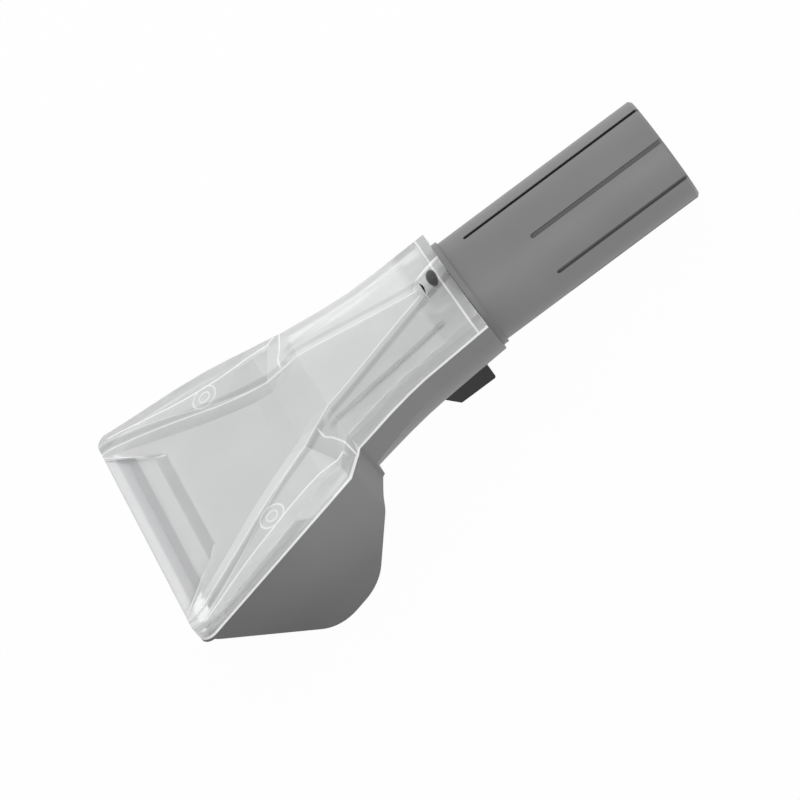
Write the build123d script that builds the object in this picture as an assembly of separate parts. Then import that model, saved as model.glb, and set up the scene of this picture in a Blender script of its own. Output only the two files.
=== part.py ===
"""Upholstery nozzle of a spray-extraction cleaner: a grey moulding with a clear duct cover.

Drawing frame: x runs across the nozzle, y along the connecting tube towards its free end,
z towards the clear front. The tube's axis is y, and y = 0 is the collar's outer face.
At the end everything is laid on the hood's rounded back and the tube's rim.
"""
import os
from math import asin, atan2, cos, degrees, hypot, radians, sin

from build123d import *

# Connecting tube
tube_r = 17.5
tube_length = 71.0
tube_end_bore_r = 15.0
root_bore_r = 12.3
tube_end_chamfer = 0.8
seam_turn = 8.0
groove_count = 8
groove_width = 1.4
groove_depth = 1.0
long_groove_start = 8.0
short_groove_start = 24.2

# Collar and neck
collar_r = 18.3
collar_length = 1.8
neck_half_width = 24.2
neck_side_z = 0.0
neck_back_z = -18.0
# Widening of the neck, as y and the share of the way to the shoulder's width
neck_flare = ((-25.5, 0.1), (-32.5, 0.23), (-39.5, 0.45), (-46.0, 0.72))

# Shoulder, where the neck steps out to the hood
shoulder_y = -53.0
shoulder_half_width = 30.4
shoulder_side_z = -7.0
shoulder_back_z = -21.0
shoulder_length = 5.0
neck_overlap = 10.0
neck_space_y = -15.0
hood_half_width = 38.3
shoulder_corner_r = 2.5

# Mouth and hood
mouth_y = -122.0
mouth_half_width = 54.6
mouth_corner_r = 4.0
body_lip_height = 1.0
body_lip_length = 3.5
hood_heel_y = -89.3
hood_heel_depth = 34.0
hood_back_y = -72.9
hood_back_depth = 34.0
hood_top_depth = 14.8
hood_bend_r = 14.0
hood_top_r = 6.0

# Parting face between body and cover, as heights over the tube's axis
parting_neck_z = 4.3
parting_shoulder_z = 1.3
parting_mouth_z = -4.1

# Walls
wall = 2.4
cover_wall = 2.2
duct_floor = 2.4

# Duct recess in the body
duct_shoulder_z = -8.5
duct_mouth_z = -7.8
duct_edge_gap = 0.6

# Clear cover
cover_end_gap = 0.2
cover_rim_length = 3.2
fan_apex_y = -10.0
roof_height = 7.8
plate_height = 4.5
channel_height = 3.8
recess_height = 3.0
lip_height = 4.3
recess_start_y = -104.0
recess_floor_y = -108.0
recess_lip_y = -116.0
recess_start_half = 25.0
recess_mouth_half = 44.0
arch_length = 12.0
arch_foot_half_width = 18.0

# Screw bosses of the cover
boss_x = 33.7
boss_y = -85.0
boss_r = 4.2
pillar_r = 4.6
pillar_length = 9.0
boss_skin = 1.3
driver_hole_r = 4.0
screw_r = 1.75
screw_clearance = 0.25
screw_fit_gap = 0.05
screw_head_r = 3.5
screw_head_height = 2.4
screw_length = 14.0
cross_width = 3.6
cross_slot = 0.8
cross_depth = 1.2

# Water socket on the neck's back
socket_half_width = 7.0
socket_front_y = -9.7
socket_back_y = -22.6
socket_slope_y = -26.5
socket_z = -25.8
socket_slope_z = -20.4
socket_bore_r = 2.9
socket_bore_depth = 7.0
seal_seat_r = 2.4
seal_seat_depth = 1.8
water_way_r = 0.9
socket_axis_z = -21.9
seal_ring_r = 0.8
seal_gap = 0.05
foot_half = 3.0
foot_gap = 0.1
foot_top_z = -14.0
foot_bottom_z = -20.4
socket_root_z = -14.0

# Water line and spray jet
pipe_r = 1.4
pipe_bore_r = 0.8
holder_y = -65.0
holder_length = 10.0
holder_half_width = 5.0
jet_angle = 46.0
spigot_r = 4.0
spigot_length = 9.0
nut_r = 6.4
nut_length = 8.0
nut_wall = 1.6
jet_r = 3.4
jet_length = 5.0
jet_flange = 1.4
jet_slot = 1.0
jet_hole_r = 0.6
jet_nose_gap = 0.8
strainer_r = 2.2
strainer_length = 4.0
strainer_wall = 0.6
washer_height = 0.8
line_clearance = 0.15

neck_y = -collar_length
hood_y = shoulder_y - shoulder_length


def between(stations, y):
    """Straight-line value at y in a list of (y, value) stations that run from high y to low y."""
    for (y0, v0), (y1, v1) in zip(stations, stations[1:]):
        if y >= y1:
            break
    return v0 + (v1 - v0) * (y - y0) / (y1 - y0)


PARTING = [(neck_y, parting_neck_z), (shoulder_y, parting_shoulder_z), (mouth_y, parting_mouth_z)]
NECK = [(neck_y, neck_half_width)]
NECK += [(y, neck_half_width + (shoulder_half_width - neck_half_width) * share) for y, share in neck_flare]
NECK += [(shoulder_y, shoulder_half_width)]
OUTLINE = NECK + [(hood_y, hood_half_width), (mouth_y, mouth_half_width)]

# Half width of the cover's flat fan: a V down the neck, wider turns in the hood
FAN = [
    (fan_apex_y, 0.4),
    (-20.0, 3.6),
    (-30.0, 6.8),
    (-40.0, 10.3),
    (shoulder_y - 0.5, 14.6),
    (-60.0, 16.2),
    (-66.0, 18.2),
    (-72.0, 20.4),
    (-80.0, 24.1),
    (-90.0, 29.8),
    (-102.0, 37.1),
    (-110.0, 41.3),
    (recess_lip_y, 44.5),
    (mouth_y, 47.6),
]

# The cover's front, row by row. Each row has y, the wall's lean and its height over the parting
# face, the pod's outer line as x and height, the height of its inner line, and the channel's
# edge as a share of the inner line's x and a height.
COVER = [
    (neck_y, 0.3, 5.9, 12.6, 6.9, roof_height, 0.5, roof_height),
    (fan_apex_y, 0.3, 6.0, 12.8, 6.9, roof_height, 0.5, roof_height),
    (-20.0, 0.3, 6.0, 14.2, 6.9, roof_height, 0.5, roof_height),
    (-30.0, 0.3, 6.1, 16.4, 7.0, roof_height, 0.5, roof_height),
    (-40.0, 0.4, 6.3, 19.0, 7.1, roof_height, 0.5, roof_height),
    (shoulder_y - 0.5, 1.0, 6.6, 22.5, 7.2, roof_height, 0.6, roof_height),
    (-60.0, 2.9, 4.3, 33.2, 4.4, 6.2, 0.68, 6.0),
    (-66.0, 3.3, 5.2, 33.3, 5.2, 4.7, 0.73, 4.2),
    (-72.0, 2.4, 5.3, 34.6, 5.1, plate_height, 0.76, channel_height),
    (-80.0, 1.0, 5.0, 36.3, 4.8, plate_height, 0.8, channel_height),
    (-90.0, 0.3, 4.8, 39.5, plate_height, plate_height, 0.83, channel_height),
    (-102.0, 0.3, 4.5, 44.0, plate_height, plate_height, 0.87, channel_height),
    (-110.0, 0.3, 4.3, 47.9, 4.3, 4.3, 0.9, channel_height),
    (recess_lip_y, 0.3, 4.2, 49.5, 4.2, 4.2, 0.92, 4.0),
    (mouth_y, 0.3, lip_height, 50.5, lip_height, lip_height, 0.95, lip_height),
]


def parting(y):
    return between(PARTING, y)


def half_width(y):
    return between(OUTLINE, y)


def fan_half_width(y):
    return between(FAN, min(y, fan_apex_y))


def side_solid(points, half, radii=()):
    """Solid with a side profile of (y, z) points, run across the nozzle from -half to half."""
    face = Plane.YZ * make_face(Polyline(*points, close=True))
    for index, radius in radii:
        y, z = points[index]
        corner = face.vertices().sort_by_distance((0, y, z))[0]
        face = fillet(corner, radius)
    return extrude(face, amount=half, both=True)


def plan_solid(points, low, high, radii=()):
    """Solid with a plan outline of (x, y) points, from height low to height high."""
    face = make_face(Polyline(*points, close=True))
    for index, radius in radii:
        x, y = points[index]
        corner = face.vertices().sort_by_distance((x, y, 0))[0]
        face = fillet(corner, radius)
    return Pos(0, 0, low) * extrude(face, amount=high - low)


def section(y, points):
    return Wire.make_polygon([Vector(x, y, z) for x, z in points], close=True)


def trough(y, half, top, side_z, bottom_z):
    """Section with a flat top, straight sides and a round bottom."""
    corners = [Vector(half, y, side_z), Vector(half, y, top), Vector(-half, y, top), Vector(-half, y, side_z)]
    lines = [Edge.make_line(a, b) for a, b in zip(corners, corners[1:])]
    arc = Edge.make_three_point_arc(corners[3], Vector(0, y, bottom_z), corners[0])
    return Wire(lines + [arc])


def rod(radius, start, end):
    """Round rod from one point to another."""
    a, b = Vector(*start), Vector(*end)
    return Plane(origin=a, z_dir=b - a) * extrude(Circle(radius), amount=(b - a).length)


def neck_solid(inset=0.0):
    """Neck with a flat front, straight sides and a round back, run on into the hood."""
    run_on = shoulder_y - neck_overlap
    side_z = [(neck_y, neck_side_z), (shoulder_y, shoulder_side_z)]
    back_z = [(neck_y, neck_back_z), (shoulder_y, shoulder_back_z)]
    rows = [(y, half, parting(y), between(side_z, y), between(back_z, y)) for y, half in NECK]
    rows.append((run_on, shoulder_half_width, parting(run_on), shoulder_side_z, shoulder_back_z))
    wires = [
        trough(y, half - inset, top - inset, side_z + inset / 2, back_z + inset)
        for y, half, top, side_z, back_z in rows
    ]
    return Solid.make_loft(wires, ruled=True)


def hood_profile():
    """Corner points of the hood's side view, as (y, z), from the shoulder's front round to its back."""
    lip_end = mouth_y + body_lip_length
    return [
        (shoulder_y + 1, parting(shoulder_y)),
        (shoulder_y, parting(shoulder_y)),
        (mouth_y, parting(mouth_y)),
        (mouth_y, parting(mouth_y) - body_lip_height),
        (lip_end, parting(lip_end) - body_lip_height),
        (hood_heel_y, parting(hood_heel_y) - hood_heel_depth),
        (hood_back_y, parting(hood_back_y) - hood_back_depth),
        (hood_y + 2, parting(hood_y) - hood_top_depth),
        (shoulder_y + 1, parting(shoulder_y) - hood_top_depth + 2),
    ]


def hood_plan(inset=0.0):
    """Plan outline of shoulder and hood, drawn in by the inset."""
    right = [
        (half_width(shoulder_y) - inset, shoulder_y + 1 - inset),
        (half_width(shoulder_y) - inset, shoulder_y - inset),
        (half_width(hood_y) - inset, hood_y - inset),
        (half_width(mouth_y) - inset, mouth_y),
    ]
    return right + [(-x, y) for x, y in reversed(right)]


def cover_plan():
    """Plan outline of the cover: the neck, the shoulder and the hood."""
    right = [(x, y) for y, x in [(5.0, neck_half_width)] + OUTLINE[1:]]
    return right + [(-x, y) for x, y in reversed(right)]


PLAN_CORNERS = [(2, shoulder_corner_r), (3, mouth_corner_r), (4, mouth_corner_r), (5, shoulder_corner_r)]
COVER_CORNERS = [(6, shoulder_corner_r), (7, mouth_corner_r), (8, mouth_corner_r), (9, shoulder_corner_r)]


def make_body():
    """Grey moulding: tube, collar, neck, shoulder and open hood in one piece."""
    tube = Pos(0, neck_y, 0) * Rot(X=-90) * extrude(Circle(tube_r), amount=tube_length - neck_y)
    # The rod's seam is turned clear of the grooves
    tube = Rot(Y=seam_turn) * tube
    rim = tube.edges().sort_by(Axis.Y)[-1]
    tube = chamfer(rim, tube_end_chamfer)
    collar = Pos(0, neck_y, 0) * Rot(X=-90) * extrude(Circle(collar_r), amount=collar_length)

    neck = neck_solid()
    side = side_solid(
        hood_profile(), mouth_half_width + 5, [(5, hood_bend_r), (6, hood_bend_r), (7, hood_top_r)]
    )
    hood = side & plan_solid(hood_plan(), -60, 20, PLAN_CORNERS)
    body = tube + collar + neck + hood

    # Suction way: tapered bore, then a trough that flattens towards the mouth
    bore = rod(root_bore_r, (0, fan_apex_y - 6, 0), (0, neck_y, 0))
    taper = Solid.make_cone(
        root_bore_r, tube_end_bore_r, tube_length - neck_y, Plane(origin=(0, neck_y, 0), z_dir=(0, 1, 0))
    )
    duct = make_duct()
    body = body - bore - taper - duct

    for step in range(groove_count):
        body -= groove(360 / groove_count * step, long_groove_start if step == 0 else short_groove_start)

    body -= make_hood_space()
    body -= make_neck_space()
    for sign in (-1, 1):
        x = sign * boss_x
        top = parting(boss_y)
        pillar = rod(pillar_r, (x, boss_y, top - wall - pillar_length), (x, boss_y, top - wall / 2))
        body += pillar
        seat = top - wall - pillar_length
        body -= rod(screw_r + screw_clearance, (x, boss_y, seat - wall), (x, boss_y, top + wall))
        # The screw and its driver come in through the hood's back
        body -= rod(driver_hole_r, (x, boss_y, top - 1.2 * hood_back_depth), (x, boss_y, seat - wall))
    middle_z = (foot_top_z + foot_bottom_z) / 2
    foot_hole = Pos(0, foot_y(), middle_z) * Box(2 * foot_half, 2 * foot_half, 2 * wall + 3)
    return body - foot_hole


def groove(angle, start):
    """One groove cutter, open at the tube's end and round at its inner end."""
    floor = tube_r - groove_depth
    length = tube_length + 1 - start
    bar = Pos(0, start + length / 2, floor + 2) * Box(groove_width, length, 4)
    nose = Pos(0, start, floor) * extrude(Circle(groove_width / 2), amount=4)
    return Rot(Y=angle) * (bar + nose)


def duct_row(y, rise):
    """One section of the duct's room, with its half width and its side and bottom heights."""
    bottom = between([(shoulder_y, duct_shoulder_z), (mouth_y - 2, duct_mouth_z)], y)
    return y, fan_half_width(y) + duct_edge_gap, bottom + rise, bottom


def make_duct():
    """Room of the suction way on the body's side of the parting face."""
    rows = [
        (neck_y - 1.2, root_bore_r, 0.0, -root_bore_r),
        (fan_apex_y - 10, root_bore_r, -1.0, -root_bore_r + 1),
        duct_row(shoulder_y, 4.0),
        duct_row(-60.0, 3.0),
        duct_row(-72.0, 2.0),
        duct_row(-80.0, 1.6),
        duct_row(-90.0, 1.2),
        duct_row(-102.0, 0.9),
        duct_row(mouth_y - 2, 0.3),
    ]
    wires = [trough(y, half, 12.0, side_z, bottom_z) for y, half, side_z, bottom_z in rows]
    return Solid.make_loft(wires, ruled=True)


def floor_z(y):
    """Height of the duct floor on the centre line."""
    stations = [
        (neck_y, -root_bore_r),
        (fan_apex_y - 10, -root_bore_r + 1),
        (shoulder_y, duct_shoulder_z),
        (mouth_y - 2, duct_mouth_z),
    ]
    return between(stations, y)


def inner_corner(a, b, c):
    """Corner b of the path a, b, c in a side view, moved left of the path by the wall."""
    first = (Vector(*b) - Vector(*a)).normalized()
    second = (Vector(*c) - Vector(*b)).normalized()
    left_first, left_second = Vector(-first.Y, first.X), Vector(-second.Y, second.X)
    moved = Vector(*b) + (left_first + left_second) * (wall / (1 + left_first.dot(left_second)))
    return moved.X, moved.Y


def make_hood_space():
    """Spray room of the hood, open at the rim, with side pockets up to the front plate."""
    outside = mouth_y - 20
    heel, back, top, neck_end = hood_profile()[5:9]
    inner_back, inner_top = inner_corner(heel, back, top), inner_corner(back, top, neck_end)
    slope = (back[1] - heel[1]) / (back[0] - heel[0])
    points = [
        (inner_top[0], floor_z(shoulder_y) - duct_floor),
        (hood_y - 9, floor_z(hood_y - 9) - duct_floor),
        (outside, floor_z(mouth_y) - duct_floor),
        (outside, inner_back[1] + slope * (outside - inner_back[0])),
        inner_back,
        inner_top,
    ]
    side = side_solid(points, 60, [(4, hood_bend_r - wall)])
    plan = plan_solid(hood_plan(wall)[1:-1], -60, 20)
    room = side & plan
    for sign in (-1, 1):
        room += pocket(sign)
    return room


def pocket(sign):
    """Hollow beside the duct, under the front plate."""
    start, end = hood_y - 3, -101.0
    gap = duct_edge_gap + wall
    outline = [
        (sign * (fan_half_width(start) + gap + 4), start),
        (sign * (half_width(start) - wall), start),
        (sign * (half_width(end) - wall), end),
        (sign * (fan_half_width(end) + gap), end),
        (sign * (fan_half_width(-90.0) + gap), -90.0),
        (sign * (fan_half_width(-80.0) + gap), -80.0),
        (sign * (fan_half_width(-72.0) + gap), -72.0),
    ]
    side = side_solid(
        [
            (start + 1, parting(start + 1) - wall),
            (end - 1, parting(end - 1) - wall),
            (end - 1, -12),
            (start + 1, -12),
        ],
        60,
    )
    return side & plan_solid(outline, -20, 20)


def make_neck_space():
    """Hollow between the duct floor and the neck's round back, open to the hood."""
    start, end = neck_space_y, shoulder_y - neck_overlap - 4
    under_floor = [
        (start, floor_z(start) - duct_floor),
        (shoulder_y, floor_z(shoulder_y) - duct_floor),
        (end, floor_z(end) - duct_floor),
        (end, -40),
        (start, -40),
    ]
    return neck_solid(wall) & side_solid(under_floor, 60)


def cover_points(y, inset=0.0):
    """Right half of the cover's section at y, from the parting face to the fan's edge."""
    lean, side, out_x, out, inn, share, channel = (
        between([(row[0], row[column]) for row in COVER], y) for column in range(1, 8)
    )
    side_wall = inset
    if inset:
        side_wall = between([(-112.0, inset), (mouth_y, inset + mouth_corner_r)], min(y, -112.0))
    zp = parting(y)
    x = half_width(y) - side_wall
    points = [(x + 1, zp - 1), (x - lean, zp + side - inset)]
    fan = fan_half_width(y)
    for wish, height in ((out_x, out), (fan, inn), (fan * share, channel)):
        points.append((min(wish, points[-1][0] - 0.4), zp + height - inset))
    return points


def cover_shell(stations, inset):
    """Solid through the cover's sections, drawn in by the inset, with flat three-cornered faces."""
    rows = []
    for y in stations:
        right = cover_points(y, inset)
        if inset:
            right[0] = (right[0][0] - 1, right[0][1])
        rows.append([Vector(x, y, z) for x, z in right + [(-x, z) for x, z in reversed(right)]])
    faces = [Face(Wire.make_polygon(rows[0], close=True)), Face(Wire.make_polygon(rows[-1], close=True))]
    for near, far in zip(rows, rows[1:]):
        count = len(near)
        for i in range(count):
            j = (i + 1) % count
            a, b, c, d = near[i], near[j], far[j], far[i]
            middle = i in (count // 2 - 1, count - 1)
            if middle:
                corners = [(a, b, c, d)]
            elif i < count // 2:
                corners = [(a, b, c), (a, c, d)]
            else:
                corners = [(a, b, d), (b, c, d)]
            faces += [Face(Wire.make_polygon(list(c), close=True)) for c in corners]
    return Solid(Shell(faces))


def above_parting():
    """Room over the parting face, which trims the cover's lower edge."""
    low = [(y, parting(y)) for y in (5.0, shoulder_y, mouth_y - 5)]
    return side_solid(low + [(mouth_y - 5, 30), (5.0, 30)], mouth_half_width + 5)


def cover_arch(end):
    """Half-round rise over the tube's root, which sinks into the cover towards the mouth."""
    far = end - arch_length
    arch_r = root_bore_r + cover_wall
    rows = [(end, arch_r, 1.5, arch_r), (far, arch_r + 1.0, 2.5, parting(far) + roof_height)]
    wires = []
    for y, half, rise, crown in rows:
        low = parting(y)
        foot = low + rise
        points = [Vector(-half, y, foot), Vector(-half, y, low), Vector(half, y, low), Vector(half, y, foot)]
        lines = [Edge.make_line(a, b) for a, b in zip(points, points[1:])]
        arc = Edge.make_three_point_arc(points[3], Vector(0, y, crown), points[0])
        wires.append(Wire(lines + [arc]))
    return Solid.make_loft(wires, ruled=True)


def lip_recess(inset):
    """Shallow dent across the fan near the mouth, with slanting ends."""
    beyond = mouth_y - 1
    side = side_solid(
        [
            (recess_start_y, parting(recess_start_y) + channel_height - inset),
            (recess_floor_y, parting(recess_floor_y) + recess_height - inset),
            (recess_lip_y, parting(recess_lip_y) + recess_height - inset),
            (beyond, parting(mouth_y) + lip_height - inset),
            (beyond, 20),
            (recess_start_y, 20),
        ],
        mouth_half_width,
    )
    ends = [(recess_start_half, recess_start_y + 1), (recess_mouth_half, beyond - 1)]
    return side & plan_solid(ends + [(-x, y) for x, y in reversed(ends)], -20, 25)


def make_cover():
    """Clear moulding: shell over the duct, arch at the tube's root, pods with blind bosses."""
    end = neck_y - cover_end_gap
    stations = [row[0] for row in COVER[1:]]
    outer = cover_shell([end] + stations, 0.0)
    outer += cover_arch(end)
    outer = outer & plan_solid(cover_plan(), -30, 30, COVER_CORNERS) & above_parting()
    inner = cover_shell([end - cover_rim_length] + stations, cover_wall)
    inner += Pos(0, -0.1, 0) * cover_shell([mouth_y + 1, mouth_y], cover_wall)
    outer -= lip_recess(0.0)
    inner -= lip_recess(cover_wall)
    bore = rod(root_bore_r, (0, end + 1, 0), (0, end - cover_rim_length - 6, 0))
    cover = outer - inner - bore
    for sign in (-1, 1):
        x = sign * boss_x
        low = parting(boss_y + boss_r)
        top = parting(boss_y) + plate_height
        cover += rod(boss_r, (x, boss_y, low), (x, boss_y, top - cover_wall / 2))
        cover -= rod(screw_r + screw_fit_gap, (x, boss_y, low - 1), (x, boss_y, top - boss_skin))
    return cover


def make_cover_screws():
    """Two pan-head screws, driven from the hood into the cover's blind bosses."""
    screws = []
    for sign in (-1, 1):
        x = sign * boss_x
        seat = parting(boss_y) - wall - pillar_length
        shank = rod(screw_r, (x, boss_y, seat), (x, boss_y, seat + screw_length))
        head = rod(screw_head_r, (x, boss_y, seat - screw_head_height), (x, boss_y, seat))
        edge = head.edges().sort_by(Axis.Z)[0]
        head = chamfer(edge, screw_head_height / 2)
        screw = shank + head
        for turn in (0, 90):
            cross = Box(cross_width, cross_slot, 2 * cross_depth)
            screw -= Pos(x, boss_y, seat - screw_head_height) * Rot(Z=turn) * cross
        screws.append(screw)
    return Compound(children=[s.solid() for s in screws])


def foot_y():
    """Place of the socket's foot, which carries the water into the neck."""
    return socket_back_y + foot_half + 0.5


def make_spray_coupling():
    """Black socket block on the neck's back, with a foot through the shell."""
    points = [
        (socket_front_y, socket_root_z),
        (socket_front_y, socket_z),
        (socket_back_y, socket_z),
        (socket_slope_y, socket_slope_z),
        (socket_slope_y, socket_root_z),
    ]
    block = side_solid(points, socket_half_width, [(1, 0.8), (2, 0.8)])
    block -= neck_solid()
    block = max(block.solids(), key=lambda s: s.volume)
    foot_side = 2 * (foot_half - foot_gap)
    middle_z = (foot_top_z + foot_bottom_z) / 2
    foot = Pos(0, foot_y(), middle_z) * Box(foot_side, foot_side, foot_top_z - foot_bottom_z)
    block = block + foot
    bore_end = socket_front_y - socket_bore_depth
    seat_end = bore_end - seal_seat_depth
    block -= rod(socket_bore_r, (0, socket_front_y + 1, socket_axis_z), (0, bore_end, socket_axis_z))
    block -= rod(seal_seat_r, (0, bore_end, socket_axis_z), (0, seat_end, socket_axis_z))
    block -= rod(water_way_r, (0, bore_end, socket_axis_z), (0, foot_y(), socket_axis_z))
    block -= rod(water_way_r, (0, foot_y(), socket_axis_z), (0, foot_y(), pipe_z()))
    block -= rod(water_way_r, (0, foot_y(), pipe_z()), (0, foot_y() - 2 * foot_half, pipe_z()))
    return block


def make_coupling_seal():
    """O-ring at the bottom of the water socket."""
    y = socket_front_y - socket_bore_depth - seal_seat_depth / 2
    plane = Plane(origin=(0, y, socket_axis_z), z_dir=(0, 1, 0))
    half = Plane.XZ * Pos(seal_seat_r - seal_ring_r - seal_gap, 0) * RegularPolygon(seal_ring_r, 8)
    return plane * revolve(half, Axis.Z)


def jet_plane():
    """Plane across the spray's direction, at the holder's spigot root."""
    origin = Vector(0, holder_y - holder_length + 4.0, floor_z(holder_y) - duct_floor - 4.0)
    direction = Vector(0, -cos(radians(jet_angle)), -sin(radians(jet_angle)))
    return Plane(origin=origin, x_dir=(1, 0, 0), z_dir=direction)


def pipe_z():
    return floor_z(foot_y() - foot_half) - duct_floor - pipe_r - line_clearance - 0.3


def make_feed_pipe():
    """Thin pipe from the socket's foot to the jet holder."""
    start = (0, foot_y() - foot_half - line_clearance + 0.1, pipe_z())
    end = (0, holder_y, pipe_z())
    return rod(pipe_r, start, end) - rod(pipe_bore_r, start, end)


def make_jet_holder():
    """Elbow under the duct floor: a block with a spigot along the spray's direction."""
    top = min(floor_z(holder_y), floor_z(holder_y - holder_length)) - duct_floor - line_clearance
    block = side_solid(
        [
            (holder_y, top),
            (holder_y - holder_length, top),
            (holder_y - holder_length, top - 6.0),
            (holder_y - 3, pipe_z() - 3.0),
            (holder_y, pipe_z() - 3.0),
        ],
        holder_half_width,
    )
    block += jet_plane() * extrude(Circle(spigot_r), amount=spigot_length)
    block -= jet_plane() * extrude(Circle(strainer_r - strainer_wall), amount=spigot_length + 1)
    seat = jet_plane().offset(spigot_length - strainer_length - line_clearance)
    block -= seat * extrude(Circle(strainer_r + line_clearance), amount=strainer_length + 1)
    block -= rod(pipe_bore_r, (0, holder_y + 1, pipe_z()), (0, holder_y - 6, pipe_z()))
    return block


def along_jet(offset):
    plane = jet_plane()
    return plane.offset(spigot_length + offset)


def make_jet_seal():
    ring = Circle(spigot_r) - Circle(strainer_r - strainer_wall)
    return along_jet(0.0) * extrude(ring, amount=washer_height)


def make_jet_strainer():
    """Cup strainer in the spigot's mouth."""
    base = along_jet(-strainer_length)
    cup = base * extrude(Circle(strainer_r), amount=strainer_length)
    room = base.offset(strainer_wall) * extrude(Circle(strainer_r - strainer_wall), amount=strainer_length)
    return cup - room


def make_spray_jet():
    """Flat-spray tip: flange, domed nose and a cut across it."""
    base = along_jet(washer_height)
    flange = base * extrude(Circle(spigot_r), amount=jet_flange)
    nose = base * extrude(Circle(jet_r - jet_nose_gap), amount=jet_length)
    tip = nose.edges().sort_by_distance(base.origin)[-1]
    nose = chamfer(tip, jet_nose_gap)
    jet = flange + nose
    jet -= base.offset(jet_length - 0.5) * Box(2 * jet_r, jet_slot, 1.6)
    return jet - base * extrude(Circle(jet_hole_r), amount=jet_length + 1)


def make_jet_nut():
    """Union nut over the spigot, with grip flats."""
    base = along_jet(washer_height + jet_flange + nut_wall - nut_length)
    blank = base * extrude(RegularPolygon(nut_r, 8), amount=nut_length)
    room = base * extrude(Circle(spigot_r + line_clearance), amount=nut_length - nut_wall)
    mouth = base * extrude(Circle(jet_r), amount=nut_length + 1)
    return blank - room - mouth


def rest_pose(parts):
    """Lays the parts on the hood's rounded back and the tube's rim, centred over the origin."""
    heel, back, top = (Vector(0, y, z) for y, z in hood_profile()[5:8])
    into_heel = (heel - back).normalized()
    into_top = (top - back).normalized()
    bisector = (into_heel + into_top).normalized()
    half_angle = radians(into_heel.get_angle(into_top)) / 2
    centre = back + bisector * (hood_bend_r / sin(half_angle))
    across = tube_length - tube_end_chamfer - centre.Y
    down = -tube_r - centre.Z
    lean = -asin(hood_bend_r / hypot(across, down)) - atan2(down, across)
    turn = Rot(X=degrees(lean))
    laid = {name: turn * part for name, part in parts.items()}
    box = Compound(children=[s for p in laid.values() for s in p.solids()]).bounding_box()
    shift = (0, -box.center().Y, -box.min.Z)
    print("lean, degrees", round(degrees(lean), 5), "shift", [round(v, 4) for v in shift])
    return {name: Pos(*shift) * part for name, part in laid.items()}


def main():
    parts = {
        "body": make_body(),
        "cover": make_cover(),
        "cover_screws": make_cover_screws(),
        "spray_coupling": make_spray_coupling(),
        "coupling_seal": make_coupling_seal(),
        "feed_pipe": make_feed_pipe(),
        "jet_holder": make_jet_holder(),
        "jet_seal": make_jet_seal(),
        "jet_strainer": make_jet_strainer(),
        "spray_jet": make_spray_jet(),
        "jet_nut": make_jet_nut(),
    }
    laid = rest_pose(parts)
    os.makedirs("parts", exist_ok=True)
    for name, part in laid.items():
        solids = part.solids()
        print(name, len(solids), "solids", round(sum(s.volume for s in solids), 1), "mm3")
        export_step(part if len(solids) > 1 else solids[0], f"parts/{name}.step")


main()
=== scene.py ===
# %% [markdown]
# An upholstery nozzle for a carpet cleaner lies on a white table. It has a grey moulded body,
# a clear suction cover screwed onto its front, and a small black water socket behind its neck.
# The engineering model already has every piece at its true size. This lesson gives the pieces
# their finish, sets up a plain studio and places the camera.

# %% Load the fixed frame
import math
import bpy
from mathutils import Matrix, Vector

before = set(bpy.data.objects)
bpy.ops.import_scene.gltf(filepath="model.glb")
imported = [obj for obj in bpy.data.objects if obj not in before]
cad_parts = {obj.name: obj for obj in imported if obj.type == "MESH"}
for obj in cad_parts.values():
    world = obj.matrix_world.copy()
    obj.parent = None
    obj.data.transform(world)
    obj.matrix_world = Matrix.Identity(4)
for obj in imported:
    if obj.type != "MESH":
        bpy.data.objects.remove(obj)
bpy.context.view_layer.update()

# %% [markdown]
# A material is a graph of nodes. Written out as links, it is long and hard to read, so a small
# class wraps a socket: an expression such as `1 - mask * 0.3` then adds its own Math nodes, and
# one method makes any other node from its type, its settings and the values of its sockets.

# %% A small class for shader maths
class Value:
    """A socket of a node graph, with the signs of arithmetic."""

    def __init__(self, graph, socket):
        self.graph = graph
        self.socket = socket

    def _math(self, operation, *inputs):
        return self.graph.node("ShaderNodeMath", {"operation": operation}, dict(enumerate(inputs)))

    def __add__(self, other):
        return self._math("ADD", self, other)

    __radd__ = __add__

    def __sub__(self, other):
        return self._math("SUBTRACT", self, other)

    def __rsub__(self, other):
        return self._math("SUBTRACT", other, self)

    def __mul__(self, other):
        return self._math("MULTIPLY", self, other)

    __rmul__ = __mul__

    def __truediv__(self, other):
        return self._math("DIVIDE", self, other)

    def power(self, other):
        return self._math("POWER", self, other)

    def positive(self):
        return self._math("ABSOLUTE", self)

    def at_least(self, other):
        return self._math("MAXIMUM", self, other)

    def at_most(self, other):
        return self._math("MINIMUM", self, other)

    def output(self, index):
        return Value(self.graph, self.socket.node.outputs[index])


class Graph:
    """The nodes of one material."""

    def __init__(self, name):
        self.material = bpy.data.materials.new(name)
        self.material.use_nodes = True
        self.tree = self.material.node_tree
        self.tree.nodes.clear()
        self.end = self.tree.nodes.new("ShaderNodeOutputMaterial")

    def node(self, kind, settings=None, sockets=None, out=0):
        made = self.tree.nodes.new(kind)
        for key, value in (settings or {}).items():
            if key == "stops":
                stops = made.color_ramp.elements
                while len(stops) < len(value):
                    stops.new(0.5)
                for stop, (place, shade) in zip(stops, value):
                    stop.position = place
                    stop.color = (*(shade if isinstance(shade, tuple) else (shade,) * 3), 1.0)
            elif key == "interpolation":
                made.color_ramp.interpolation = value
            else:
                setattr(made, key, value)
        for key, value in (sockets or {}).items():
            if isinstance(value, Value):
                self.tree.links.new(value.socket, made.inputs[key])
            else:
                made.inputs[key].default_value = value
        return Value(self, made.outputs[out])

    def surface(self, shader):
        self.tree.links.new(shader.socket, self.end.inputs["Surface"])
        return self.material

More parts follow.
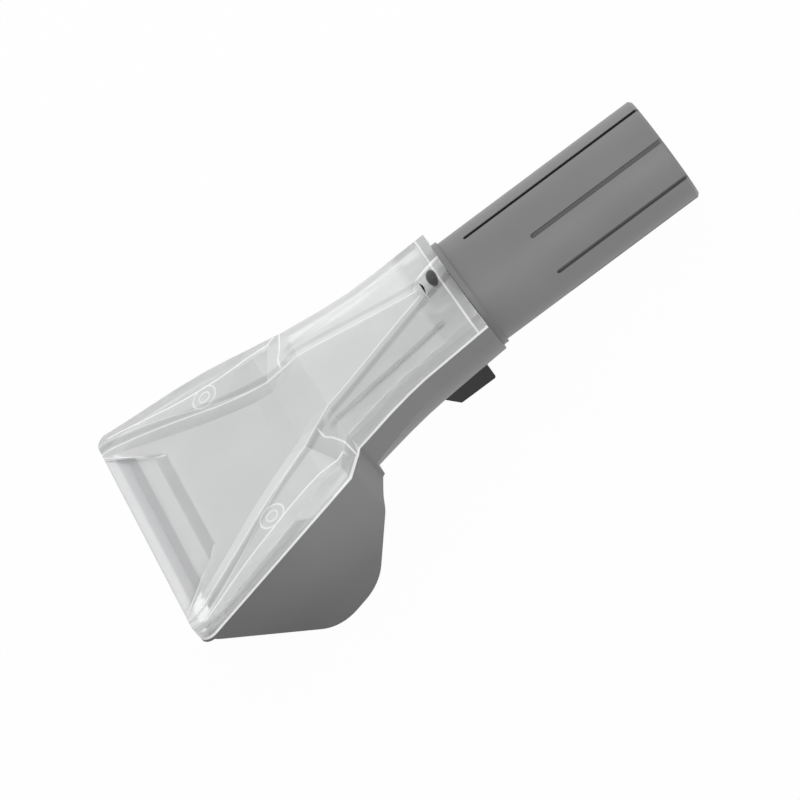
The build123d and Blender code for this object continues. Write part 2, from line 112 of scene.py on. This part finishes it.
# %% [markdown]
# A few nodes come back in every finish: the place on the piece, a noise at that place, a colour
# that runs between two tones, a second colour laid over a first by a mask, and a bump. Each gets
# a short name. `dress` then puts a finished material on the pieces.

# %% Short names for common nodes
def object_place(g):
    return g.node("ShaderNodeTexCoord", out=3)


def noise(g, scale, detail=2.0):
    sockets = {"Vector": object_place(g), "Scale": scale, "Detail": detail}
    return g.node("ShaderNodeTexNoise", {}, sockets)


def two_tones(g, mask, dark_tone, light_tone):
    stops = [(0.3, dark_tone), (0.7, light_tone)]
    return g.node("ShaderNodeValToRGB", {"stops": stops}, {"Fac": mask})


def laid_over(g, mask, under, over):
    """The colour `over` where the mask is 1, and `under` where it is 0."""
    return g.node("ShaderNodeMix", {"data_type": "RGBA"}, {"Factor": mask, 6: under, 7: over}, 2)


def bumps(g, height, distance, strength):
    sockets = {"Height": height, "Distance": distance, "Strength": strength}
    return g.node("ShaderNodeBump", {}, sockets)


def times(shade, factor):
    return tuple(part * factor for part in shade)


def dress(names, material):
    for name in names:
        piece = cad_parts[name]
        piece.data.materials.clear()
        piece.data.materials.append(material)
    print(material.name, "on", ", ".join(names))

# %% [markdown]
# Injection moulded plastic is never one flat colour. The mould was spark eroded, so the skin has
# a fine even grain, and the melt leaves faint clouds. `paint` is for a piece whose colour also
# changes from place to place: it takes the clouded colour and returns its own.

# %% Moulded plastic
cloud_scale, cloud_depth = 38.0, 0.05


def moulded_plastic(name, shade, roughness, grain_scale=2600.0, grain_depth=0.00003, paint=None):
    g = Graph(name)
    grain = noise(g, grain_scale)
    clouds = noise(g, cloud_scale, 3.0)
    colour = two_tones(g, clouds, times(shade, 1 - cloud_depth), times(shade, 1 + cloud_depth))
    if paint:
        colour = paint(g, colour)
    skin = g.node("ShaderNodeBsdfPrincipled", {},
                  {"Base Color": colour, "Roughness": clouds * 0.1 + (roughness - 0.05),
                   "Normal": bumps(g, grain, grain_depth, 0.6), "IOR": 1.5})
    return g.surface(skin)


dress(["spray_coupling"], moulded_plastic("black_socket", (0.007, 0.007, 0.008), 0.45))
dress(["feed_pipe"], moulded_plastic("pipe_plastic", (0.55, 0.55, 0.53), 0.3, 900.0, 0.00001))
dress(["jet_holder", "jet_nut", "jet_strainer"],
      moulded_plastic("jet_plastic", (0.035, 0.035, 0.036), 0.4))
dress(["coupling_seal", "jet_seal"], moulded_plastic("seal_rubber", (0.01, 0.01, 0.01), 0.6))

# %% [markdown]
# The screws are zinc plated steel and the spray tip is turned brass.

# %% Metals
def turned_metal(name, shade, roughness):
    g = Graph(name)
    marks = noise(g, 900.0, 4.0)
    skin = g.node("ShaderNodeBsdfPrincipled", {},
                  {"Base Color": two_tones(g, marks, times(shade, 0.88), shade),
                   "Roughness": marks * 0.2 + (roughness - 0.1), "Metallic": 1.0,
                   "Normal": bumps(g, marks, 0.00002, 0.4)})
    return g.surface(skin)


dress(["cover_screws"], turned_metal("screw_steel", (0.62, 0.62, 0.6), 0.35))
dress(["spray_jet"], turned_metal("jet_brass", (0.78, 0.55, 0.25), 0.3))

# %% [markdown]
# Some finishes follow the nozzle's ribs and edges, so a material has to know where on it a point
# lies. The nozzle rests tipped by a few degrees, so the point is first turned back to the
# drawing, where y runs along the tube. All the numbers below are millimetres of that drawing.
# Its zero is on the tube's axis, at the collar's outer face. The neck and the hood lie at
# negative places.

# %% From the resting place back to the drawing
lean = math.radians(-6.59577)
rest_y, rest_z = 0.0246659, 0.0254476
millimetres = 1000.0


def drawing_place(g):
    """Distance across from the middle, along the tube, and out towards the front."""
    spot = g.node("ShaderNodeSeparateXYZ", {}, {"Vector": object_place(g)})
    y, z = (spot.output(1) - rest_y) * millimetres, (spot.output(2) - rest_z) * millimetres
    along = y * math.cos(lean) + z * math.sin(lean)
    front = z * math.cos(lean) - y * math.sin(lean)
    return spot.positive() * millimetres, along, front


print("the nozzle leans by", round(math.degrees(lean), 2), "degrees")

# %% [markdown]
# Masks are built from three helpers. `ramp` is a soft step, and `line` a fine line where some
# distance is nought. `profile` gives an edge's distance across at any place along the nozzle: a
# colour ramp is an easy table of a few stations, read in straight or in rounded runs. A ramp
# only holds values from 0 to 1, so the table is divided by its width and multiplied back.

# %% Steps, lines and tables
table_width = 64.0


def ramp(g, value, start, end):
    """0 at start and 1 at end, smooth between, and flat outside."""
    sockets = {"Value": value, "From Min": start, "From Max": end}
    return g.node("ShaderNodeMapRange", {"interpolation_type": "SMOOTHSTEP"}, sockets)


def line(g, distance, half):
    """1 where the distance is nought, and 0 from `half` outwards."""
    return 1 - ramp(g, distance.positive(), half * 0.25, half)


def profile(g, place, stations, runs="LINEAR"):
    """Table of (place, value) stations."""
    stations = sorted(stations)
    low, high = stations[0][0], stations[-1][0]
    stops = [((p - low) / (high - low), v / table_width) for p, v in stations]
    table = {"stops": stops, "interpolation": runs}
    return g.node("ShaderNodeValToRGB", table, {"Fac": (place - low) / (high - low)}) * table_width


def ring_distance(g, first, second):
    """Distance from the point where both are nought."""
    return (first.power(2.0) + second.power(2.0)).power(0.5)


def strongest(masks):
    top = masks[0]
    for mask in masks[1:]:
        top = top.at_least(mask)
    return top

# %% [markdown]
# The hood's grey runs from light at the joint with the cover to dark at its heel and its mouth,
# where less light reaches it. The even light of this studio would not show that run, so the
# colour carries it as painted shade, by the place on the hood.

# %% Painted shade of the hood
hood_start_y, mouth_y = -62.0, -120.0
heel_shade_grey = (0.08, 0.08, 0.082, 1)


def painted_heel_shade(g, along, front, colour):
    # painted shade: darker deeper down the hood and towards its mouth
    in_hood = 1 - ramp(g, along, -70.0, -50.0)
    depth = ramp(g, front * -1.0, 5.0, 30.0)
    towards_mouth = ramp(g, along * -1.0, -hood_start_y, -mouth_y)
    dark = (depth * in_hood * 0.4 + towards_mouth * 0.8).at_most(1.0)
    return laid_over(g, dark, colour, heel_shade_grey)


print("the hood darkens over", hood_start_y - mouth_y, "mm")

# %% [markdown]
# The long grooves of the tube get painted shade, darker than its wall, the one on top most of all,
# where its steep side lies in shadow. A point on the tube lies in a groove where it is nearer to
# the axis than the wall but outside the bore.

# %% Painted shade in the grooves of the tube, and the body's material
tube_radius, groove_inside, tube_start_y, tube_end_y = 17.5, 15.6, 4.0, 70.4
groove_shade_grey = (0.03, 0.03, 0.03, 1)


def painted_groove_shade(g, across, along, front, colour):
    radius = ring_distance(g, across, front)
    off_bore = ramp(g, radius, groove_inside - 0.1, groove_inside)
    off_wall = 1 - ramp(g, radius, tube_radius - 0.25, tube_radius - 0.1)
    on_tube = (ramp(g, along, tube_start_y, tube_start_y + 1.0)
               * (1 - ramp(g, along, tube_end_y - 0.4, tube_end_y)))
    on_top = (1 - ramp(g, across, 2.0, 3.0)) * ramp(g, front, 0.0, 1.0)
    # painted shade in the grooves, deepest in the top one
    groove = off_bore * off_wall * on_tube * (on_top * 0.55 + 0.45)
    return laid_over(g, groove, colour, groove_shade_grey)


def body_paint(g, colour):
    across, along, front = drawing_place(g)
    # painted shade on the hood's heel and in the grooves
    colour = painted_heel_shade(g, along, front, colour)
    return painted_groove_shade(g, across, along, front, colour)


dress(["body"], moulded_plastic("grey_shell", (0.176, 0.176, 0.18), 0.42, paint=body_paint))

# %% [markdown]
# The cover's edges are curves across its front. A V of two ridges opens from the tube towards the
# mouth. Beside it a pod holds the screw boss on either side, and begins with an arc at the
# shoulder. Behind the lip there is a recess. Its joint with the body is a slanted plane, bent in
# two places. Each curve is a short table of stations.

# %% Curves of the cover
ridge_x = [(-10, 0.4), (-20, 3.6), (-30, 6.8), (-40, 10.3), (-50, 13.5), (-60, 16.2),
           (-70, 19.6), (-80, 24.1), (-90, 29.8), (-100, 35.9), (-110, 41.3), (-120, 46.6)]
pod_x = [(-56, 33.2), (-64, 33.3), (-72, 34.5), (-80, 36.3), (-88, 38.8), (-96, 41.5),
         (-104, 44.9), (-112, 48.7), (-120, 51.6)]
flank_x = [(-12, 17.5), (-56, 22.0)]
shoulder_arc_y = [(17, -59.9), (20, -59.8), (22.4, -59.4), (25.8, -57.3), (29.4, -55.8),
                  (35.3, -53.6)]
recess_x = [(-104.5, 25.0), (-122, 44.0)]
recess_y, slope_end_y, floor_end_y, lip_y = -104.0, -108.0, -113.0, -119.0
boss_x, boss_y, boss_r, pin_r = 33.7, -85.0, 4.2, 1.9
joint_z = [(10, 4.3), (-1.8, 4.3), (-53, 1.3), (-122, -4.1), (-130, -4.7)]
joint_raise = 10.0
curves = (ridge_x, pod_x, flank_x, shoulder_arc_y, recess_x, joint_z)
print("stations in the curves:", sum(len(curve) for curve in curves))

# %% [markdown]
# A point of the cover is measured from these curves once, and the steps below share the result.
# The joint's heights go below nought, which a table can't hold, so they are raised first and
# lowered again after.

# %% Where a point of the cover lies
class CoverPlace:
    """Distances of a point from the cover's curves, and the regions that it may be in."""

    def __init__(self, g):
        self.across, self.along, self.front = drawing_place(g)
        self.ridge = self.across - profile(g, self.along, ridge_x, "B_SPLINE")
        self.pod = self.across - profile(g, self.along, pod_x, "B_SPLINE")
        self.recess = self.across - profile(g, self.along, recess_x)
        raised = [(y, z + joint_raise) for y, z in joint_z]
        self.over_joint = self.front - (profile(g, self.along, raised) - joint_raise)
        self.in_hood = 1 - ramp(g, self.along, -58.0, -56.0)
        self.in_neck = ramp(g, self.along, -58.0, -54.0)
        self.in_recess = ((1 - ramp(g, self.along, recess_y - 0.5, recess_y + 0.5))
                          * (1 - ramp(g, self.recess, -0.5, 0.5)))

# %% [markdown]
# A thin edge of clear plastic gathers light and shows as a white line. So the ridges, the pods,
# the boss rings and the joint get painted highlights: lines of whiter haze, each with its own
# strength.

# %% Painted highlight lines of the cover
def painted_highlight_lines(g, spot):
    pod = line(g, spot.pod, 0.5) * spot.in_hood * ramp(g, spot.along, -118.5, -117.5)
    inner_pod = spot.ridge - ramp(g, spot.along * -1.0, 64.0, 112.0) * 4.5
    ridge = line(g, spot.ridge, 0.5) * ramp(g, spot.along * -1.0, 12.0, 14.0)
    arc = spot.along + profile(g, spot.across, [(x, -y) for x, y in shoulder_arc_y])
    arc_ends = ramp(g, spot.across, 17.0, 19.0) * (1 - ramp(g, spot.across, 34.5, 35.5))
    recess = line(g, spot.recess, 0.5) * (1 - ramp(g, spot.along, recess_y - 1.0, recess_y))
    boss = ring_distance(g, spot.across - boss_x, spot.along - boss_y)
    rings = (line(g, boss - boss_r, 0.45) + line(g, boss - pin_r, 0.4)).at_most(1.0)
    # painted highlights along every edge line
    return strongest([
        pod * 0.8, ridge * 0.5, line(g, arc, 0.5) * arc_ends * 0.7, recess * 0.5, rings * 0.5,
        line(g, spot.over_joint - 0.4, 0.8), line(g, spot.along + 5.2, 0.5) * 0.7,
        line(g, inner_pod, 0.5) * spot.in_hood * 0.3,
    ])

# %% [markdown]
# Next to a bright ridge lies a strip of painted shade: the haze is lower there, so more of the
# grey body shows through and the strip looks darker. There is one beside each ridge and one
# along each flank of the neck.

# %% Painted shade strips of the cover
def painted_shade_strips(g, spot):
    # painted shade beside the ridges, along the neck's flanks and by the pods
    by_ridge = line(g, spot.ridge - 3.4, 1.8) * spot.in_neck
    on_flank = line(g, spot.across - profile(g, spot.along, flank_x), 2.0)
    on_flank = on_flank * (1 - ramp(g, spot.along, -14.0, -10.0)) * spot.in_neck
    by_pod = line(g, spot.ridge - 2.2, 2.2) * spot.in_hood
    return by_ridge + on_flank + by_pod

# %% [markdown]
# Behind the lip, the real duct shows as a row of bands: a dark slope, which is painted shade,
# a grey floor, then the almost white lip. Under the arch at the tube's end, the open bore shows
# as a dark oval of painted shade, for the shadowed inside of the bore. The masks stand in for
# what is seen through the cover there. They add no shape.

# %% Bands at the mouth and the painted shade of the bore
bore_y, bore_half_across, bore_half_along = -7.0, 5.0, 1.9


def mouth_bands(g, spot):
    # painted shade on the slope
    slope_shade = spot.in_recess * ramp(g, spot.along, slope_end_y - 0.4, slope_end_y + 0.4)
    before_floor_end = 1 - ramp(g, spot.along, floor_end_y - 0.5, floor_end_y + 0.5)
    before_lip = ramp(g, spot.along, lip_y - 0.5, lip_y + 0.5)
    return slope_shade, spot.in_recess * before_floor_end * before_lip, 1 - before_lip


def painted_bore_shade(g, spot):
    # painted shade where the bore opens
    off_centre = ring_distance(g, spot.across / bore_half_across,
                               (spot.along - bore_y) / bore_half_along)
    return 1 - ramp(g, off_centre, 0.75, 1.1)

# %% [markdown]
# The cover is clear plastic, about 2 mm thick, and slightly milky. Light bends in its walls, so
# a true glass shader is one part of it, and a white, softly glossy one is the other. The haze
# says how much of the second there is. It grows where a face is seen at a shallow angle, as milky
# plastic does, and along the painted highlight lines, and it drops in the painted shade strips
# and on the painted shade of the slope. The same lines raise the bump, since a mould leaves a
# fine bead there.

# %% Clear plastic
milk_white, band_grey = (0.93, 0.935, 0.94, 1), (0.45, 0.45, 0.46, 1)
bore_shade_black = (0.02, 0.02, 0.02, 1)
plain_haze, least_haze, plain_facing = 0.44, 0.32, 0.4
acrylic_ior = 1.49


def cover_haze(g, spot, waves):
    facing = g.node("ShaderNodeLayerWeight", {}, {"Blend": 0.5}, 1)
    haze = plain_haze + waves * 0.04 - spot.in_recess * 0.04
    haze = haze - ramp(g, spot.along, -16.0, -12.0) * 0.14
    return (haze + (facing - plain_facing)).at_least(least_haze)


def clear_plastic(name):
    g = Graph(name)
    spot = CoverPlace(g)
    bead_and_highlight_lines = painted_highlight_lines(g, spot)
    slope_shade, floor_band, lip = mouth_bands(g, spot)
    bore_shade = painted_bore_shade(g, spot)
    waves = noise(g, 60.0, 1.0)
    bump = bumps(g, waves * 0.3 + bead_and_highlight_lines, 0.0003, 0.5)
    glass = g.node("ShaderNodeBsdfPrincipled", {},
                   {"Base Color": (0.97, 0.975, 0.98, 1), "Roughness": 0.05, "IOR": acrylic_ior,
                    "Transmission Weight": 1.0, "Normal": bump})
    banded = laid_over(g, floor_band * 0.9 + lip * 0.5, milk_white, band_grey)
    milk = g.node("ShaderNodeBsdfPrincipled", {},
                  # painted shade: the bore's dark oval in the milk's colour
                  {"Base Color": laid_over(g, bore_shade, banded, bore_shade_black), "Roughness": 0.3,
                   "IOR": acrylic_ior, "Normal": bump})
    # painted shade lowers the haze in the strips and on the slope; painted highlights raise it
    # along the lines
    haze = cover_haze(g, spot, waves) - painted_shade_strips(g, spot) * 0.14 - slope_shade * 0.1
    haze = haze + floor_band * 0.3 + lip * 0.2 + bore_shade * 0.45 + bead_and_highlight_lines * 0.5
    return g.surface(g.node("ShaderNodeMixShader", {}, {"Fac": haze, 1: glass, 2: milk}))


dress(["cover"], clear_plastic("clear_cover"))

# %% [markdown]
# The camera stands far off with a long lens. It is rolled, so the tube points up to the right.

# %% Camera
eye = Vector((0.9522, 0.13074, 0.73089))
aim = Vector((0.00836, -0.01267, 0.01975))
roll = math.radians(-47.147)

camera_data = bpy.data.cameras.new("camera")
camera_data.lens = 180.499
camera_data.sensor_width = 36.0
camera_data.clip_end = 20.0
camera = bpy.data.objects.new("camera", camera_data)
bpy.context.scene.collection.objects.link(camera)
turn = (aim - eye).to_track_quat("-Z", "Y").to_matrix() @ Matrix.Rotation(roll, 3, "Z")
camera.matrix_world = Matrix.Translation(eye) @ turn.to_4x4()
bpy.context.scene.camera = camera
print("camera distance, metres:", round((aim - eye).length, 3))

# %% [markdown]
# The table is white. Light Path tells a material which kind of ray meets it: where the camera,
# a reflection or the clear cover looks at the table, most of it shines as plain white, and the
# rest is a matt surface that takes the soft shadow.

# %% Table
white_share = 0.975
table_size, table_drop = 12.0, 0.0002


def white_table():
    g = Graph("white_table")
    path = g.node("ShaderNodeLightPath")
    outputs = path.socket.node.outputs
    rays = [Value(g, outputs[f"Is {kind} Ray"]) for kind in ("Camera", "Glossy", "Transmission")]
    seen = g.node("ShaderNodeClamp", {}, {"Value": rays[0] + rays[1] + rays[2]})
    matt = g.node("ShaderNodeBsdfDiffuse", {}, {"Color": two_tones(g, noise(g, 3.0), 0.6, 0.63)})
    white = g.node("ShaderNodeEmission", {}, {"Color": (1, 1, 1, 1), "Strength": 1.0})
    mixed = {"Fac": seen * white_share, 1: matt, 2: white}
    return g.surface(g.node("ShaderNodeMixShader", {}, mixed))


bpy.ops.object.select_all(action="DESELECT")
bpy.ops.mesh.primitive_plane_add(size=table_size, location=(0, 0, -table_drop))
table = bpy.context.active_object
table.name = "table"
table.data.materials.append(white_table())
print("table:", table_size, "m square")

# %% [markdown]
# Light: a bright white room all round does most of the work. A soft lamp on either side makes the
# flanks of the tube and of the cover a little lighter than their middles. The left one would
# mirror as a hard white patch in the flat cover, so it is hidden from reflections.

# %% Studio light
world = bpy.data.worlds.new("studio")
bpy.context.scene.world = world
world.use_nodes = True
sky = world.node_tree.nodes["Background"]
sky.inputs["Color"].default_value = (1, 1, 1, 1)
sky.inputs["Strength"].default_value = 0.84
lamp_target = Vector((0, 0, 0.02))


def soft_lamp(name, place, size, power):
    data = bpy.data.lights.new(name, "AREA")
    data.shape = "RECTANGLE"
    data.size = data.size_y = size
    data.energy = power
    lamp = bpy.data.objects.new(name, data)
    bpy.context.scene.collection.objects.link(lamp)
    lamp.location = place
    lamp.rotation_euler = (lamp_target - Vector(place)).to_track_quat("-Z", "Y").to_euler()
    print(name, power, "W")
    return lamp


left_lamp = soft_lamp("left_lamp", (-1.0, 0.3, 0.55), 0.9, 7.0)
left_lamp.visible_glossy = False
soft_lamp("right_lamp", (1.0, 0.6, 0.45), 0.7, 5.2)
bpy.context.scene.view_settings.view_transform = "Standard"
